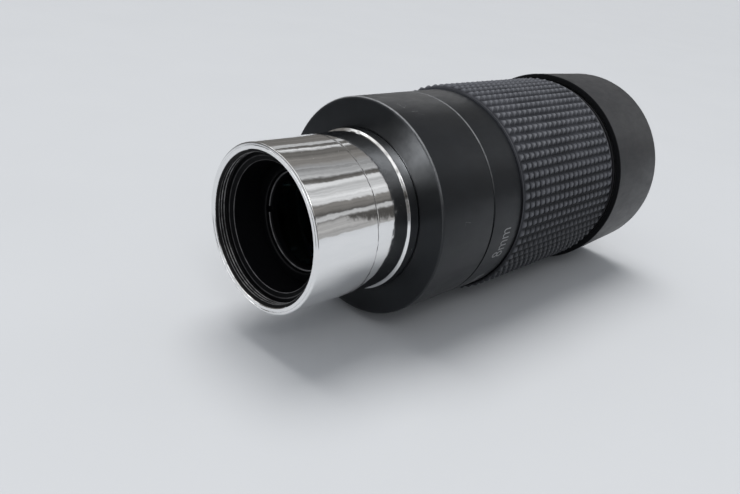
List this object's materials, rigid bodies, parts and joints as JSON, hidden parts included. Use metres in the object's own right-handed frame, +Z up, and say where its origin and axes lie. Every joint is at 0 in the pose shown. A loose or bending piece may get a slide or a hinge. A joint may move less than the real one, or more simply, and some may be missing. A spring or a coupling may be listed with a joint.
{
  "type": "telescope eyepiece",
  "caption": "Zoom telescope eyepiece with a 1.25 inch chrome nosepiece, black body, turning rubber grip that drives two lens carriages, and a sliding eyecup.",
  "frame": {"origin": "centre of the bounding box, on the optical axis, halfway between the nosepiece mouth and the eyecup rim", "axes": "+Y along the optical axis from the nosepiece mouth towards the eye, +Z up, +X to the right seen along +Y; the eyepiece lies on its side"},
  "size_m": [0.0484, 0.1116, 0.0484],
  "materials": {
    "chrome": "polished plate",
    "black_metal": "satin black anodised",
    "baffle_black": "matte black anodised inside",
    "raw_aluminium": "turned",
    "brass": "turned",
    "steel": "ground",
    "grip_rubber": "moulded pyramid pattern",
    "eyecup_rubber": "smooth matte",
    "slip_plastic": "plain",
    "carrier_plastic": "moulded",
    "glass": "coated"
  },
  "bodies": {
    "fixed_body": {"nosepiece_barrel": "chrome", "barrel_liner": "baffle_black", "body_shell": "black_metal", "guide_tube": "raw_aluminium", "guide_lock_ring": "brass", "front_slip_ring": "slip_plastic", "rear_slip_ring": "slip_plastic", "eye_housing": "black_metal", "eye_cell": "baffle_black", "eye_lens_front": "glass", "eye_lens_spacer": "baffle_black", "eye_lens_rear": "glass", "eye_retaining_ring": "baffle_black"},
    "zoom_ring_assembly": {"zoom_ring": "black_metal", "rubber_grip": "grip_rubber", "cam_tube": "raw_aluminium", "cam_screw_1": "steel", "cam_screw_2": "steel", "cam_screw_3": "steel"},
    "front_lens_carriage": {"field_cell": "baffle_black", "field_retaining_ring": "baffle_black", "field_lens_negative": "glass", "field_lens_positive": "glass", "field_follower_1": "steel", "field_follower_2": "steel"},
    "middle_lens_carriage": {"middle_cell": "baffle_black", "field_stop": "baffle_black", "middle_lens_front": "glass", "middle_lens_rear": "glass", "middle_retaining_ring": "baffle_black", "middle_follower_1": "steel", "middle_follower_2": "steel"},
    "eyecup": {"eyecup_rubber": "eyecup_rubber", "eyecup_carrier": "carrier_plastic"}
  },
  "joints": [
    {"name": "zoom_turn", "type": "hinge", "parent": "fixed_body", "child": "zoom_ring_assembly", "pos_m": [0, 0, 0], "axis": [0, 1, 0], "range_deg": [-72, 72]},
    {"name": "front_lens_travel", "type": "slide", "parent": "fixed_body", "child": "front_lens_carriage", "axis": [0, 1, 0], "range_m": [-0.00503, 0.00503]},
    {"name": "middle_lens_travel", "type": "slide", "parent": "fixed_body", "child": "middle_lens_carriage", "axis": [0, 1, 0], "range_m": [-0.00302, 0.00302]},
    {"name": "eyecup_lift", "type": "slide", "parent": "fixed_body", "child": "eyecup", "axis": [0, 1, 0], "range_m": [0, 0.01]}
  ],
  "couplings": [
    {"joint": "front_lens_travel", "follows": "zoom_turn", "m_per_rad": -0.004},
    {"joint": "middle_lens_travel", "follows": "zoom_turn", "m_per_rad": 0.0024}
  ]
}
